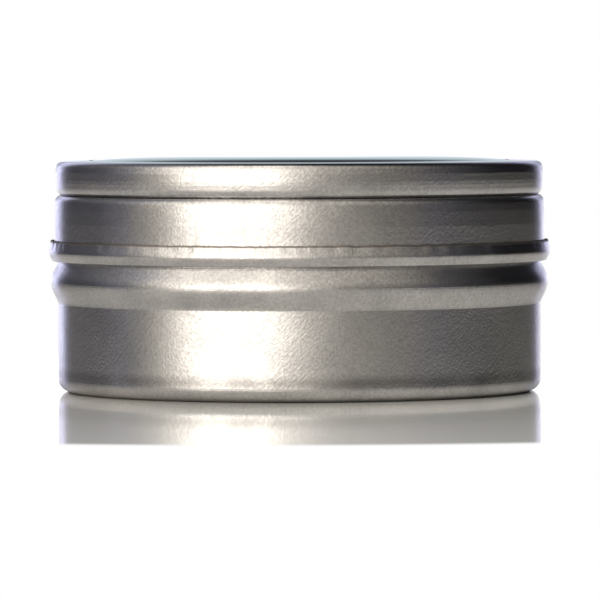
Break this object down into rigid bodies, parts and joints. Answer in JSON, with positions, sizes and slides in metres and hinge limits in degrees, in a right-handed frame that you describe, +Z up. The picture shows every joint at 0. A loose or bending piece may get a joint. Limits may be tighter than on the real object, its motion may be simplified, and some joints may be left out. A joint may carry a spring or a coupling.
{
  "type": "round tin",
  "caption": "Round pressed tin with a straight beaded wall and a slip lid that holds a clear window under its top flange.",
  "frame": {"origin": "centre of the foot, on the plane that the tin stands on", "axes": "+Z up along the tin's axis, out through the lid; the tin is round, so X and Y are any two directions square to it"},
  "size_m": [0.0728, 0.0728, 0.034],
  "materials": {
    "tinplate": "satin",
    "clear_plastic": "clear glossy"
  },
  "bodies": {
    "tin": {"tin_body": "tinplate"},
    "lid": {"lid_shell": "tinplate", "window_insert": "clear_plastic"}
  },
  "joints": [
    {"name": "lid_lift", "type": "slide", "parent": "tin", "child": "lid", "axis": [0, 0, 1], "range_m": [0, 0.03]}
  ]
}
